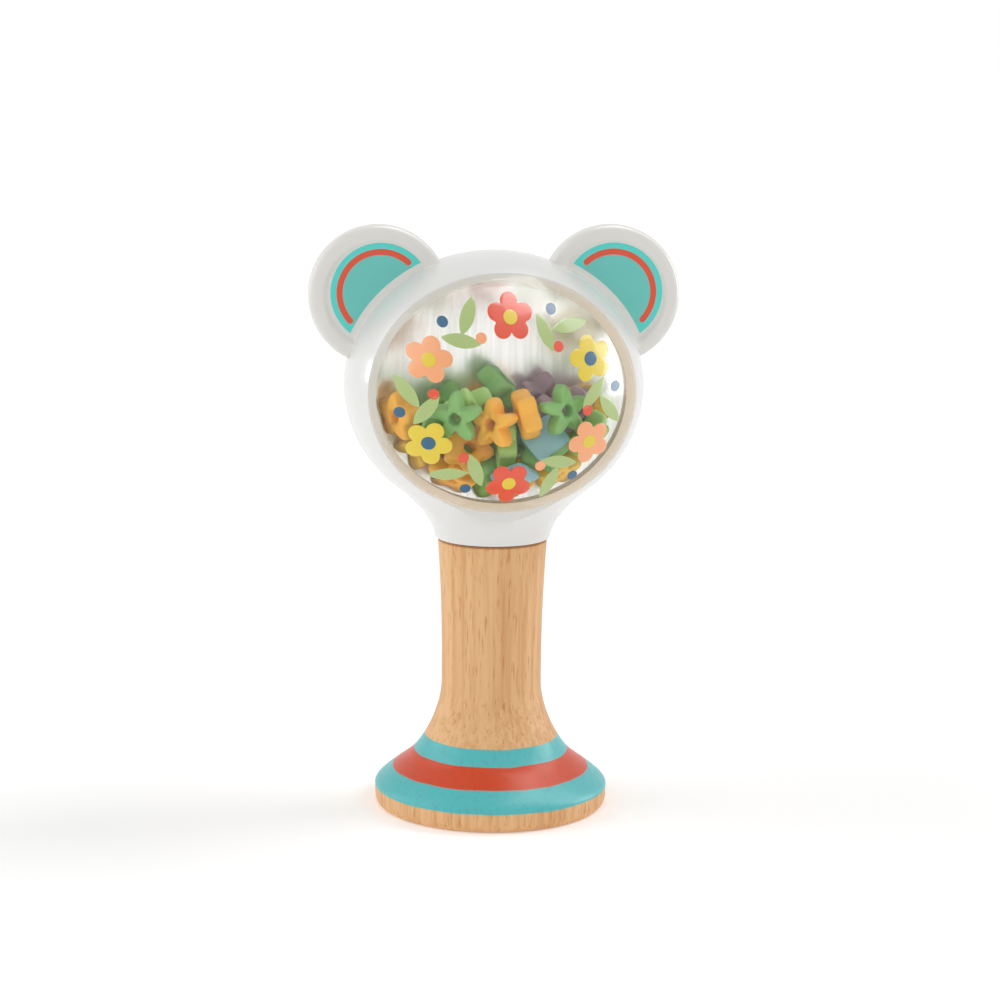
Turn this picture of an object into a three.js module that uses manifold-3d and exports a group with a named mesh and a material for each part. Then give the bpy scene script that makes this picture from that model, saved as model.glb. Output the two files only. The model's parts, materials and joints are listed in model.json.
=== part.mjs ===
// Baby maraca: a turned beech handle with a round foot, and a hollow white head
// with two round ears whose clear front window shows loose beads before a silvered dish.
// Millimetres, +Z up. The origin is the centre of the foot's underside, and the window faces -Y.
import * as THREE from "three";
import { mergeVertices } from "three/addons/utils/BufferGeometryUtils.js";
import Module from "manifold-3d";

const wasm = await Module();
wasm.setup();

// Fits and fineness
const GAP = 0.3;
const WELD = 1e-4;
const TINY = 1e-9;
const WIDE = 400;
const ROUND_SIDES = 36;
const CURVE_STEPS = 6;
const HEAD_STEPS = 10;

// Handle
const FOOT_FLAT_RADIUS = 24.3;
const FOOT_SIDE_RADIUS = 26.2;
const FOOT_SIDE_Z = 2.5;
const FOOT_RADIUS = 26.25;
const FOOT_WIDEST_Z = 4.6;
const FOOT_TURN_Z = 5.9;
const SHOULDER_RADIUS = 19;
const SHOULDER_Z = 10.9;
const SHOULDER_RUN = 2.45;
const SHOULDER_DROP = 2;
const FLARE_REACH = 1.55;
const FLARE_TURN_Z = 22;
const WAIST_RADIUS = 11.2;
const WAIST_Z = 28.4;
const WAIST_TURN_Z = 38;
const GRIP_TURN_Z = 46;
const HANDLE_TOP_RADIUS = 12.2;
const HANDLE_TOP_Z = 61;
const HANDLE_TOP_BREAK = 0.4;

// Spigot of the head in the handle's blind bore
const SPIGOT_RADIUS = 7;
const SPIGOT_LENGTH = 13.5;
const SPIGOT_CORE_RADIUS = 4.6;
const SPIGOT_FLOOR = 2;

// Head: a spheroid on a flared neck
const HEAD_RADIUS = 33.2;
const HEAD_HALF_HEIGHT = 29.7;
const HEAD_Z = 95.6;
const HEAD_WALL = 1.5;
const NECK_RADIUS = 12.9;
const NECK_BREAK = 0.4;
const NECK_TURN_RADIUS = 13.5;
const NECK_TURN_Z = 66.2;
const NECK_JOIN_ANGLE = (-51.4 * Math.PI) / 180;

// Window: a clear cap flush with the head, and a skirt behind the white ring
const WINDOW_Y = -15.9;
const DOME_WALL = 1.5;
const DOME_RIM_DEPTH = 1.4;
const SKIRT_WALL = 1;
const SKIRT_END_Y = -11.6;

// Tongue of the rear half, inside the front half
const TONGUE_WALL = 1;
const TONGUE_ROOT_Y = 4;
const TONGUE_OVERLAP = 1;

// Silvered dish behind the beads
const DISH_RADIUS = 29.1;
const DISH_HALF_HEIGHT = 25.8;
const DISH_BOWL_RADIUS = 27.2;
const DISH_BOWL_DEPTH = 7;
const DISH_POWER = 5;
const DISH_STATIONS = [0, 0.3, 0.5, 0.65, 0.78, 0.89, 1];
const DISH_THICKNESS = 1.1;
const DISH_RIM_Y = SKIRT_END_Y + GAP;

// Ears
const EAR_RADIUS = 15.4;
const EAR_X = 25.7;
const EAR_Z = 115.6;
const EAR_HALF_THICKNESS = 3.2;
const EAR_EDGE = 2;
const EAR_DISH_RADIUS = 11;
const EAR_DISH_DEPTH = 0.8;
const EAR_CREST_RADIUS = 12.6;
const TAB_WIDTH = 12;
const TAB_THICKNESS = 2.4;
const TAB_INNER = 26.2;
const TAB_OUTER = 34;
const TAB_HEAD_LENGTH = 2;
const TAB_HEAD_THICKNESS = 6;

// Beads
const BEAD_RADIUS = 5.7;
const BEAD_THICKNESS = 4.2;
const BEAD_BEVEL = 0.9;
const BEAD_HOLE_RADIUS = 1.1;
const BEAD_POINTS = 5;
const BEAD_DIPS = { star: 0.54, flower: 0.34 };
const BEAD_SIDES = 20;
const CHIP_SIDE = 8.4;
const CHIP_THICKNESS = 1;
const BEAD_CLEARANCE = 0.5;
const CHIP_CLEARANCE = 0.8;
const WALL_CLEARANCE = 0.25;

// The heap of beads: kind and colour of each in the order they are poured, and how they are poured
const BEAD_ORDER = [
  ["star", "amber"], ["flower", "green"], ["star", "amber"], ["flower", "light_green"],
  ["star", "orange"], ["flower", "green"], ["star", "light_green"], ["chip", "light_blue"],
  ["star", "light_green"], ["star", "amber"], ["flower", "light_green"], ["star", "green"],
  ["flower", "orange"], ["star", "lilac"], ["flower", "green"], ["star", "orange"],
  ["flower", "amber"], ["star", "green"], ["chip", "light_blue"], ["star", "orange"],
  ["star", "green"], ["flower", "lilac"], ["star", "green"], ["flower", "orange"],
  ["star", "lilac"], ["flower", "orange"], ["star", "green"], ["flower", "green"],
  ["star", "light_green"],
];
const POUR_REACH = 14;
const POUR_Y = -17;
const POUR_RISE = 4;
const POUR_SINK = 0.3;
const POUR_STEPS = 700;
const REST_STEPS = 60;
const POUR_PASSES = 4;
const SPIN_RESISTANCE = 12;
const BEAD_NEARBY = 2 * (BEAD_RADIUS + 1);
const RIM_EASE = 3;
const BALL_STATIONS = [0, 0.25, 0.5].map((share) => share * Math.PI);

// Looks
const COLOURS = {
  beech: 0xe2b886,
  white: 0xf2f2f0,
  ear_white: 0xefece6,
  clear: 0xf4f1ec,
  silver: 0xd8d8d6,
  green: 0x7caa69,
  light_green: 0x9cc46c,
  orange: 0xd9902a,
  amber: 0xf0b23c,
  lilac: 0xa58c96,
  light_blue: 0x87b9c3,
};

function finish(name, roughness, metalness = 0) {
  return new THREE.MeshStandardMaterial({ color: COLOURS[name], roughness, metalness });
}

// A closed geometry as a solid for joining and cutting
function solid(geometry) {
  const bare = geometry.clone();
  bare.deleteAttribute("normal");
  bare.deleteAttribute("uv");
  const merged = mergeVertices(bare, WELD);
  return new wasm.Manifold(
    new wasm.Mesh({
      numProp: 3,
      vertProperties: new Float32Array(merged.attributes.position.array),
      triVerts: new Uint32Array(merged.index.array),
    }),
  );
}

// A solid as a named mesh
function meshOf(name, body, material) {
  const mesh = body.getMesh();
  const geometry = new THREE.BufferGeometry();
  geometry.setAttribute("position", new THREE.BufferAttribute(mesh.vertProperties, 3));
  geometry.setIndex(new THREE.BufferAttribute(mesh.triVerts, 1));
  geometry.computeVertexNormals();
  const made = new THREE.Mesh(geometry, material);
  made.name = name;
  return made;
}

// A profile of radius and height, turned about the vertical axis
function turned(points) {
  return solid(new THREE.LatheGeometry(points, ROUND_SIDES).rotateX(Math.PI / 2));
}

// A spheroid inside the head's surface by the given amount
function headSpheroid(inset) {
  const ball = new THREE.SphereGeometry(1, ROUND_SIDES, HEAD_STEPS * 2).rotateX(Math.PI / 2);
  ball.scale(HEAD_RADIUS - inset, HEAD_RADIUS - inset, HEAD_HALF_HEIGHT - inset);
  return solid(ball.translate(0, 0, HEAD_Z));
}

// The space between two values of y, wide enough for the whole toy
function slab(fromY, toY) {
  const box = new THREE.BoxGeometry(WIDE, toY - fromY, WIDE);
  return solid(box.translate(0, (fromY + toY) / 2, HEAD_Z));
}

// The wall between two spheroids, from one value of y to another
function headBand(outerInset, innerInset, fromY, toY) {
  return headSpheroid(outerInset).subtract(headSpheroid(innerInset)).intersect(slab(fromY, toY));
}

// Turned handle: rounded foot edge, convex shoulder, concave flare, waist, and the bore in the top
function handle() {
  const profile = new THREE.Path();
  profile.moveTo(0, 0);
  profile.lineTo(FOOT_FLAT_RADIUS, 0);
  profile.quadraticCurveTo(FOOT_SIDE_RADIUS, 0, FOOT_SIDE_RADIUS, FOOT_SIDE_Z);
  profile.lineTo(FOOT_RADIUS, FOOT_WIDEST_Z);
  profile.bezierCurveTo(
    FOOT_RADIUS, FOOT_TURN_Z,
    SHOULDER_RADIUS + SHOULDER_RUN, SHOULDER_Z - SHOULDER_DROP,
    SHOULDER_RADIUS, SHOULDER_Z,
  );
  profile.bezierCurveTo(
    SHOULDER_RADIUS - FLARE_REACH * SHOULDER_RUN, SHOULDER_Z + FLARE_REACH * SHOULDER_DROP,
    WAIST_RADIUS, FLARE_TURN_Z,
    WAIST_RADIUS, WAIST_Z,
  );
  profile.bezierCurveTo(
    WAIST_RADIUS, WAIST_TURN_Z,
    WAIST_RADIUS, GRIP_TURN_Z,
    HANDLE_TOP_RADIUS, HANDLE_TOP_Z - HANDLE_TOP_BREAK,
  );
  profile.lineTo(HANDLE_TOP_RADIUS - HANDLE_TOP_BREAK, HANDLE_TOP_Z);
  profile.lineTo(SPIGOT_RADIUS + GAP, HANDLE_TOP_Z);
  profile.lineTo(SPIGOT_RADIUS + GAP, HANDLE_TOP_Z - SPIGOT_LENGTH - GAP);
  profile.lineTo(0, HANDLE_TOP_Z - SPIGOT_LENGTH - GAP);
  return turned(profile.getPoints(CURVE_STEPS));
}

// The whole white head without its window: spheroid, neck and spigot, hollowed to the wall
function hollowHead() {
  const neckZ = HANDLE_TOP_Z + GAP;
  const joinRadius = HEAD_RADIUS * Math.cos(NECK_JOIN_ANGLE);
  const joinZ = HEAD_Z + HEAD_HALF_HEIGHT * Math.sin(NECK_JOIN_ANGLE);
  const outside = new THREE.Path();
  outside.moveTo(0, neckZ - SPIGOT_LENGTH);
  outside.lineTo(SPIGOT_RADIUS, neckZ - SPIGOT_LENGTH);
  outside.lineTo(SPIGOT_RADIUS, neckZ);
  outside.lineTo(NECK_RADIUS - NECK_BREAK, neckZ);
  outside.lineTo(NECK_RADIUS, neckZ + NECK_BREAK);
  outside.quadraticCurveTo(NECK_TURN_RADIUS, NECK_TURN_Z, joinRadius, joinZ);
  const points = outside.getPoints(CURVE_STEPS);
  const sweep = Math.PI / 2 - NECK_JOIN_ANGLE;
  for (let i = 1; i <= HEAD_STEPS; i++) {
    const angle = NECK_JOIN_ANGLE + (sweep * i) / HEAD_STEPS;
    const radius = i === HEAD_STEPS ? 0 : HEAD_RADIUS * Math.cos(angle);
    points.push(new THREE.Vector2(radius, HEAD_Z + HEAD_HALF_HEIGHT * Math.sin(angle)));
  }
  const core = new THREE.CylinderGeometry(SPIGOT_CORE_RADIUS, SPIGOT_CORE_RADIUS, 1, ROUND_SIDES);
  const coreFloor = neckZ - SPIGOT_LENGTH + SPIGOT_FLOOR;
  const coreTop = HEAD_Z - HEAD_HALF_HEIGHT / 2;
  core.rotateX(Math.PI / 2).scale(1, 1, coreTop - coreFloor).translate(0, 0, (coreTop + coreFloor) / 2);
  return turned(points).subtract(headSpheroid(HEAD_WALL)).subtract(solid(core));
}

// A box along the line from the head's centre to an ear, from one distance to another
function boxTowardsEar(side, from, to, width, thickness) {
  const angle = Math.atan2(EAR_Z - HEAD_Z, EAR_X);
  const box = new THREE.BoxGeometry(to - from, thickness, width).translate((from + to) / 2, 0, 0);
  box.rotateY(side > 0 ? -angle : angle - Math.PI).translate(0, 0, HEAD_Z);
  return solid(box);
}

// The slot that an ear's tab takes through the head's wall
function earSlot(side) {
  return boxTowardsEar(side, TAB_INNER, TAB_OUTER, TAB_WIDTH + 2 * GAP, TAB_THICKNESS + 2 * GAP);
}

// White front half: the ring round the window and the front of neck and spigot
function frontShell(head) {
  const half = head.intersect(slab(WINDOW_Y + GAP / 2, -GAP / 2));
  return half.subtract(earSlot(1)).subtract(earSlot(-1));
}

// White rear half, with a tongue inside the front half that holds the dish against the skirt
function backShell(head) {
  const inset = HEAD_WALL + GAP;
  const endY = DISH_RIM_Y + DISH_THICKNESS + GAP;
  const root = headBand(HEAD_WALL - GAP, inset + TONGUE_WALL, GAP / 2, TONGUE_ROOT_Y);
  const tongue = headBand(inset, inset + TONGUE_WALL, endY, TONGUE_OVERLAP);
  const half = head.intersect(slab(GAP / 2, 2 * HEAD_RADIUS));
  return half.add(root).add(tongue).subtract(earSlot(1)).subtract(earSlot(-1));
}

// Round ear with a soft rim and a shallow dish in front, keyed into the head by a tab
function ear(side) {
  const front = -EAR_HALF_THICKNESS;
  const back = EAR_HALF_THICKNESS;
  const profile = new THREE.Path();
  profile.moveTo(0, back);
  profile.lineTo(EAR_RADIUS - EAR_EDGE, back);
  profile.quadraticCurveTo(EAR_RADIUS, back, EAR_RADIUS, back - EAR_EDGE);
  profile.lineTo(EAR_RADIUS, front + EAR_EDGE);
  profile.quadraticCurveTo(EAR_RADIUS, front, EAR_CREST_RADIUS, front);
  profile.lineTo(EAR_DISH_RADIUS, front + EAR_DISH_DEPTH);
  profile.lineTo(0, front + EAR_DISH_DEPTH);
  const points = profile.getPoints(CURVE_STEPS / 2).reverse();
  const disc = solid(new THREE.LatheGeometry(points, ROUND_SIDES).translate(side * EAR_X, 0, EAR_Z));
  const tab = boxTowardsEar(side, TAB_INNER - TAB_HEAD_LENGTH, TAB_OUTER, TAB_WIDTH, TAB_THICKNESS);
  const headFrom = TAB_INNER - TAB_HEAD_LENGTH;
  const tabHead = boxTowardsEar(side, headFrom, TAB_INNER - GAP, TAB_WIDTH, TAB_HEAD_THICKNESS);
  return disc.subtract(headSpheroid(-GAP)).add(tab).add(tabHead);
}

// Clear window: the cap that carries the head's surface on, a thick rim and the skirt
function dome() {
  const rimY = WINDOW_Y - GAP / 2;
  const skirtInset = HEAD_WALL + GAP;
  const cap = headBand(0, DOME_WALL, -2 * HEAD_RADIUS, rimY);
  const rim = headBand(0, skirtInset + SKIRT_WALL, rimY - DOME_RIM_DEPTH, rimY);
  const skirt = headBand(skirtInset, skirtInset + SKIRT_WALL, rimY - DOME_RIM_DEPTH / 2, SKIRT_END_Y);
  return cap.add(rim).add(skirt);
}

// The dish's front face: flat in the middle, rising to its rim with the fifth power of the radius
function dishFrontY(radius) {
  const share = Math.min(radius / DISH_BOWL_RADIUS, 1);
  return DISH_RIM_Y + DISH_BOWL_DEPTH * (1 - share ** DISH_POWER);
}

// Silvered dish with a flat rim that the tongue and the skirt hold between them
function mirrorDish() {
  const radii = DISH_STATIONS.map((share) => share * DISH_BOWL_RADIUS);
  radii.push(DISH_RADIUS);
  const front = radii.map((radius) => new THREE.Vector2(radius, dishFrontY(radius)));
  const back = radii.map((radius) => new THREE.Vector2(radius, dishFrontY(radius) + DISH_THICKNESS));
  const shape = new THREE.LatheGeometry([...front, ...back.reverse()], ROUND_SIDES);
  shape.scale(1, 1, DISH_HALF_HEIGHT / DISH_RADIUS).translate(0, 0, HEAD_Z);
  return solid(shape);
}

// Square chips, and star and flower beads whose outline dips between their points
function beadGeometry(kind) {
  const shape = new THREE.Shape();
  if (kind === "chip") {
    const half = CHIP_SIDE / 2;
    shape.moveTo(-half, -half).lineTo(half, -half).lineTo(half, half).lineTo(-half, half).closePath();
    const plate = new THREE.ExtrudeGeometry(shape, { depth: CHIP_THICKNESS, bevelEnabled: false });
    return plate.translate(0, 0, -CHIP_THICKNESS / 2);
  }
  const outline = [];
  for (let i = 0; i < BEAD_SIDES; i++) {
    const angle = (2 * Math.PI * i) / BEAD_SIDES;
    const lobe = (1 + Math.cos(BEAD_POINTS * angle)) / 2;
    const radius = BEAD_RADIUS * (1 - BEAD_DIPS[kind] * (1 - lobe)) - BEAD_BEVEL;
    outline.push(new THREE.Vector2(radius * Math.cos(angle), radius * Math.sin(angle)));
  }
  shape.setFromPoints(outline);
  const hole = new THREE.Path();
  hole.absarc(0, 0, BEAD_HOLE_RADIUS + BEAD_BEVEL / 2, 0, 2 * Math.PI, true);
  shape.holes.push(hole);
  const bead = new THREE.ExtrudeGeometry(shape, {
    depth: BEAD_THICKNESS - 2 * BEAD_BEVEL,
    curveSegments: 3,
    bevelThickness: BEAD_BEVEL,
    bevelSize: BEAD_BEVEL,
    bevelSegments: 1,
  });
  return bead.translate(0, 0, BEAD_BEVEL - BEAD_THICKNESS / 2);
}

// The balls that stand for a bead while the heap settles: centre and radius of each
function beadBalls(kind) {
  const balls = [];
  if (kind === "chip") {
    const radius = CHIP_THICKNESS / 2 + CHIP_CLEARANCE;
    const step = CHIP_SIDE / 2 - radius / 2;
    for (const x of [-1, 0, 1]) {
      for (const y of [-1, 0, 1]) {
        balls.push({ at: new THREE.Vector3(x * step, y * step, 0), radius });
      }
    }
    return balls;
  }
  const radius = BEAD_THICKNESS / 2 + BEAD_CLEARANCE;
  const reach = BEAD_RADIUS - radius + BEAD_CLEARANCE;
  balls.push({ at: new THREE.Vector3(), radius });
  for (let i = 0; i < BEAD_POINTS; i++) {
    const angle = (2 * Math.PI * i) / BEAD_POINTS;
    balls.push({ at: new THREE.Vector3(reach * Math.cos(angle), reach * Math.sin(angle), 0), radius });
  }
  return balls;
}

// The chamber's inset from the head's surface: the cap's wall in front, the thicker rim and skirt behind
function chamberInset(y) {
  const rimFront = WINDOW_Y - GAP / 2 - DOME_RIM_DEPTH;
  const share = THREE.MathUtils.clamp((y - rimFront) / RIM_EASE + 1, 0, 1);
  return THREE.MathUtils.lerp(DOME_WALL, HEAD_WALL + GAP + SKIRT_WALL, share);
}

// How a ball has to move to be inside the chamber, which is open upwards while the beads are poured
function chamberPush(centre, radius) {
  const keep = radius + WALL_CLEARANCE;
  const height = Math.min(centre.z - HEAD_Z, 0);
  const inset = chamberInset(centre.y) + keep;
  const wide = HEAD_RADIUS - inset;
  const size = Math.hypot(centre.x / wide, centre.y / wide, height / (HEAD_HALF_HEIGHT - inset));
  const push = new THREE.Vector3(centre.x, centre.y, height).multiplyScalar(Math.min(1 / size - 1, 0));
  const dishRadius = Math.hypot(centre.x, (height * DISH_RADIUS) / DISH_HALF_HEIGHT);
  const limits = BALL_STATIONS.map((angle) => {
    return dishFrontY(dishRadius + keep * Math.sin(angle)) - keep * Math.cos(angle);
  });
  push.y -= Math.max(centre.y + push.y - Math.min(...limits), 0);
  return push;
}

function placeBalls(bead) {
  bead.balls.forEach((ball, i) => bead.arms[i].copy(ball.at).applyQuaternion(bead.turn));
}

// Moves a bead by a push on one of its balls, and turns it as much as its width lets it
function nudge(bead, arm, push) {
  const spin = new THREE.Vector3().crossVectors(arm, push);
  const weight = 1 + spin.lengthSq() / (SPIN_RESISTANCE * push.lengthSq());
  bead.at.addScaledVector(push, 1 / weight);
  const angle = spin.length() / (SPIN_RESISTANCE * weight);
  if (angle < TINY) return;
  bead.turn.premultiply(new THREE.Quaternion().setFromAxisAngle(spin.normalize(), angle));
  placeBalls(bead);
}

// Keeps every ball of a bead inside the chamber
function pushFromWalls(bead) {
  const centre = new THREE.Vector3();
  bead.balls.forEach((ball, i) => {
    const push = chamberPush(centre.copy(bead.arms[i]).add(bead.at), ball.radius);
    if (push.lengthSq() > 0) nudge(bead, bead.arms[i].clone(), push);
  });
}

// Pushes two beads apart wherever their balls meet
function pushApart(one, other) {
  if (one.at.distanceTo(other.at) > BEAD_NEARBY) return;
  const between = new THREE.Vector3();
  for (let i = 0; i < one.balls.length; i++) {
    for (let j = 0; j < other.balls.length; j++) {
      between.copy(one.arms[i]).add(one.at).sub(other.arms[j]).sub(other.at);
      const depth = one.balls[i].radius + other.balls[j].radius - between.length();
      if (depth <= 0) continue;
      between.setLength(depth / 2);
      nudge(one, one.arms[i].clone(), between);
      nudge(other, other.arms[j].clone(), between.negate());
    }
  }
}

// The heap: beads start in a rising spiral over the chamber, sink a little at each step and push
// each other apart until they lie still. The golden angle spreads their places and their tilts.
function pouredBeads() {
  const beads = BEAD_ORDER.map(([kind, colour], i) => {
    const swing = i * Math.PI * (3 - Math.sqrt(5));
    const balls = beadBalls(kind);
    return {
      kind,
      colour,
      balls,
      arms: balls.map(() => new THREE.Vector3()),
      at: new THREE.Vector3(
        POUR_REACH * Math.cos(swing),
        POUR_Y + (POUR_REACH / 2) * Math.sin(swing),
        HEAD_Z + POUR_RISE * i,
      ),
      turn: new THREE.Quaternion().setFromEuler(new THREE.Euler(2 * swing, 3 * swing, swing)),
    };
  });
  beads.forEach(placeBalls);
  for (let step = 0; step < POUR_STEPS; step++) {
    const sink = step < POUR_STEPS - REST_STEPS ? POUR_SINK : 0;
    for (const bead of beads) bead.at.z -= sink;
    for (let pass = 0; pass < POUR_PASSES; pass++) {
      beads.forEach((bead, i) => {
        pushFromWalls(bead);
        for (const other of beads.slice(i + 1)) pushApart(bead, other);
      });
    }
  }
  return beads;
}

// The finished toy
function maraca() {
  const toy = new THREE.Group();
  const head = hollowHead();
  toy.add(meshOf("handle", handle(), finish("beech", 0.55)));
  toy.add(meshOf("front_shell", frontShell(head), finish("white", 0.25)));
  toy.add(meshOf("back_shell", backShell(head), finish("white", 0.25)));
  toy.add(meshOf("left_ear", ear(-1), finish("ear_white", 0.3)));
  toy.add(meshOf("right_ear", ear(1), finish("ear_white", 0.3)));
  toy.add(meshOf("mirror_dish", mirrorDish(), finish("silver", 0.15, 1)));
  const clear = finish("clear", 0.05);
  clear.transparent = true;
  clear.opacity = 0.25;
  toy.add(meshOf("dome", dome(), clear));
  const counts = {};
  for (const bead of pouredBeads()) {
    counts[bead.kind] = (counts[bead.kind] ?? 0) + 1;
    const mesh = new THREE.Mesh(beadGeometry(bead.kind), finish(bead.colour, 0.6));
    mesh.name = bead.kind + "_" + String(counts[bead.kind]).padStart(2, "0");
    mesh.position.copy(bead.at);
    mesh.quaternion.copy(bead.turn);
    toy.add(mesh);
  }
  return toy;
}

export default maraca();
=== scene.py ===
"""Baby maraca: a turned beech handle, and a white head with a clear dome over loose beads.

Laid out as an add-on. Run as a script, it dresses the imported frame: every piece is a numpy
surface in metres, in the frame's own place, with +Z up and the dome facing -Y.
"""

import json
import math

import bmesh
import bpy
import numpy as np
from mathutils import Matrix, Vector


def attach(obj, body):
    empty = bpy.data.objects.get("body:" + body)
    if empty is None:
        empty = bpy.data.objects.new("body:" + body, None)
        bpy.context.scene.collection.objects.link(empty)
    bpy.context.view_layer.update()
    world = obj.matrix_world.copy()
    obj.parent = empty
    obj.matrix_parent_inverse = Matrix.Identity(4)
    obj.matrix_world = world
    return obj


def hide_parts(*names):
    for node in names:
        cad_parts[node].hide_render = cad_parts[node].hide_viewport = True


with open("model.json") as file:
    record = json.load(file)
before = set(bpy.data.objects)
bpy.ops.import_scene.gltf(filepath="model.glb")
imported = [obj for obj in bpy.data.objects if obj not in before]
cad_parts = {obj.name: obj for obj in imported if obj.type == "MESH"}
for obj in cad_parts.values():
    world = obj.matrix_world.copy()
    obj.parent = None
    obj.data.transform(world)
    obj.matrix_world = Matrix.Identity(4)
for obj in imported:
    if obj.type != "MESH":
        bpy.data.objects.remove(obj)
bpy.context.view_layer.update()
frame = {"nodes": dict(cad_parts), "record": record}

bl_info = {
    "name": "Baby maraca",
    "version": (1, 0, 0),
    "blender": (4, 5, 0),
    "location": "View3D > Sidebar > Maraca",
    "description": "Dresses the frame of a baby maraca with fine surfaces and finishes",
    "category": "Add Mesh",
}

MM = 0.001

# Fineness of the surfaces
ROUND_SIDES = 192
CURVE_STEPS = 24
HEAD_STEPS = 72
WELD = 1e-7
SHARP_ANGLE = math.radians(38)

# Bezier control points of the handle's outline, as radius and height in millimetres
HANDLE_CURVES = [
    [(0, 0), (24.3, 0)],
    [(24.3, 0), (26.2, 0), (26.2, 2.5)],
    [(26.2, 2.5), (26.25, 4.6)],
    [(26.25, 4.6), (26.25, 5.9), (21.45, 8.9), (19, 10.9)],
    [(19, 10.9), (15.2025, 14), (11.2, 22), (11.2, 28.4)],
    [(11.2, 28.4), (11.2, 38), (11.2, 46), (12.2, 60.6)],
    [(12.2, 60.6), (11.8, 61)],
    [(11.8, 61), (7.3, 61)],
    [(7.3, 61), (7.3, 47.2)],
    [(7.3, 47.2), (0, 47.2)],
]

# Finish of the handle, in metres: a darker brown band along the top edge, and soft and wavy edges of
# the paint
DARK_TOP_START = 60.4 * MM
DARK_TOP_END = 60.9 * MM
PAINT_EDGE = 0.12 * MM
PAINT_WAVE = 0.5 * MM

# Neck and spigot under the head, as radius and height in millimetres
SPIGOT_CURVES = [
    [(0, 47.8), (7, 47.8)],
    [(7, 47.8), (7, 61.3)],
    [(7, 61.3), (12.5, 61.3)],
    [(12.5, 61.3), (12.9, 61.7)],
]
NECK_START = (12.9, 61.7)
NECK_TURN = (13.5, 66.2)
NECK_JOIN_ANGLE = math.radians(-51.4)
CORE_RADIUS = 4.6
CORE_FLOOR = 49.8

# Depths along Y of the planes and walls in the head, in millimetres
FRONT_EDGE_Y = -15.75
SEAM_Y = 0.05
DOME_RIM_Y = -16.05
DOME_STEP_Y = -17.45
SKIRT_END_Y = -11.6
TONGUE_END_Y = -9.9
TONGUE_ROOT_Y = 4
SKIRT_INSETS = (1.8, 2.8)
TONGUE_ROOT_INSET = 1.2

# Where the dome's finish changes: insets and depths in millimetres, and cosines to the lower right,
# towards which the painted shade on the rim grows
OUTSIDE_INSETS = (0.5, 0.2)
BEHIND_INSETS = (2.4, 2.2)
BONDED_DEPTHS = (DOME_STEP_Y - 0.4, DOME_STEP_Y + 1.4)
HIDDEN_DEPTHS = (DOME_STEP_Y - 0.1, DOME_STEP_Y)
BEHIND_DEPTHS = (DOME_RIM_Y - 0.2, DOME_RIM_Y - 0.1)
PAINTED_SHADE_COSINES = (-0.8, 0.35)

# Dome's gloss, and the least and added shares of the beige tint on its rim and skirt, which is painted
# shade
GLOSS_LEAST = 0.02
GLOSS_ADDED = 0.7
GLOSS_POWER = 5.0
RIM_PAINTED_SHADE = (0.05, 0.3)
SKIRT_PAINTED_SHADE = (0.1, 0.65)
# Glow of the beige tint: painted light
PAINTED_GLOW = 0.2

# Silvered dish
DISH_RADIUS = 29.1
DISH_BOWL_RADIUS = 27.2
DISH_HALF_HEIGHT = 25.8
DISH_RIM_Y = -11.3
DISH_DEPTH = 7
DISH_POWER = 5
DISH_THICKNESS = 1.1
DISH_SHINE = 0.12

# Ear outline from the middle of the back to the middle of the front, as radius and depth
EAR_CURVES = [
    [(0, 3.2), (6, 3.2), (13.4, 3.2)],
    [(13.4, 3.2), (15.4, 3.2), (15.4, 1.2)],
    [(15.4, 1.2), (15.4, -1.2)],
    [(15.4, -1.2), (15.4, -3.2), (12.6, -3.2)],
    [(12.6, -3.2), (11.9, -3.2), (11.6, -2.4), (11, -2.4)],
    [(11, -2.4), (5, -2.4), (0, -2.4)],
]
EAR_SINK = 0.8 * MM
EAR_FRONT_Y = -1.6 * MM
EAR_PAINT_EDGE = 0.06 * MM
EAR_WEB_LEAST_DEPTH = 2 * MM
EAR_WEB_END = 15 * MM
EAR_WEB_FADE = 4 * MM
EAR_ARC_HALF_SPAN = math.radians(87)

# Stage, in metres, and the camera's sensor in millimetres
FLOOR_HALF = 12.0
PANEL_TARGET = (0, 0, 0.095)
SENSOR_WIDTH = 36

# Beads
BEAD_POINTS = 5
BEAD_DIPS = {"star": 0.54, "flower": 0.34}
BEAD_ROUND = 64
BEAD_SECTION = 24
BEAD_SQUARENESS = 0.55
CHIP_SQUARENESS = 0.28
CHIP_STEPS = (0, 0.5, 0.93, 0.98, 1, 1, 0.98, 0.93, 0.5, 0)
CHIP_HEIGHTS = (1, 1, 1, 0.85, 0.45, -0.45, -0.85, -1, -1, -1)

# Garland printed on the dome: colour of each flower, in order round the ring
GARLAND_FLOWERS = ["yellow", "red", "peach", "yellow", "red", "peach"]
PRINT_SIDES = 72
PRINT_STEPS = (0, 0.4, 0.8, 0.985, 1, 0.985, 0.8, 0.4, 0)
PRINT_HEIGHTS = (1, 1, 1, 1, 0.4, -0.4, -0.4, -0.4, -0.4)
PETALS = 5
PETAL_DIP = 0.62
PETAL_ROUNDNESS = 0.75
LEAF_POINTEDNESS = 1.7
EYE_SHARE = 0.3
EYE_LIFT = 1.8
LEAF_SPREAD = 0.1
LEAF_RINGS = (1.1, 0.9)
LEAF_TURNS = (math.radians(128), math.radians(52))
DOT_SPREAD = 0.12
DOT_RINGS = (1.17, 0.83)


def linear(red, green, blue):
    """Scene colour of an sRGB colour from 0 to 255: the usual power curve with its straight toe."""
    shares = np.array([red, green, blue]) / 255
    return tuple(np.where(shares <= 0.04045, shares / 12.92, ((shares + 0.055) / 1.055) ** 2.4))


def length(name, millimetres, description):
    """A length property in metres."""
    return bpy.props.FloatProperty(
        name=name, description=description, default=millimetres * MM, unit="LENGTH", precision=5
    )


def colour(name, red, green, blue, description):
    """A colour property from sRGB values."""
    return bpy.props.FloatVectorProperty(
        name=name,
        description=description,
        default=linear(red, green, blue),
        subtype="COLOR",
        size=3,
        min=0,
        max=1,
    )


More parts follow.
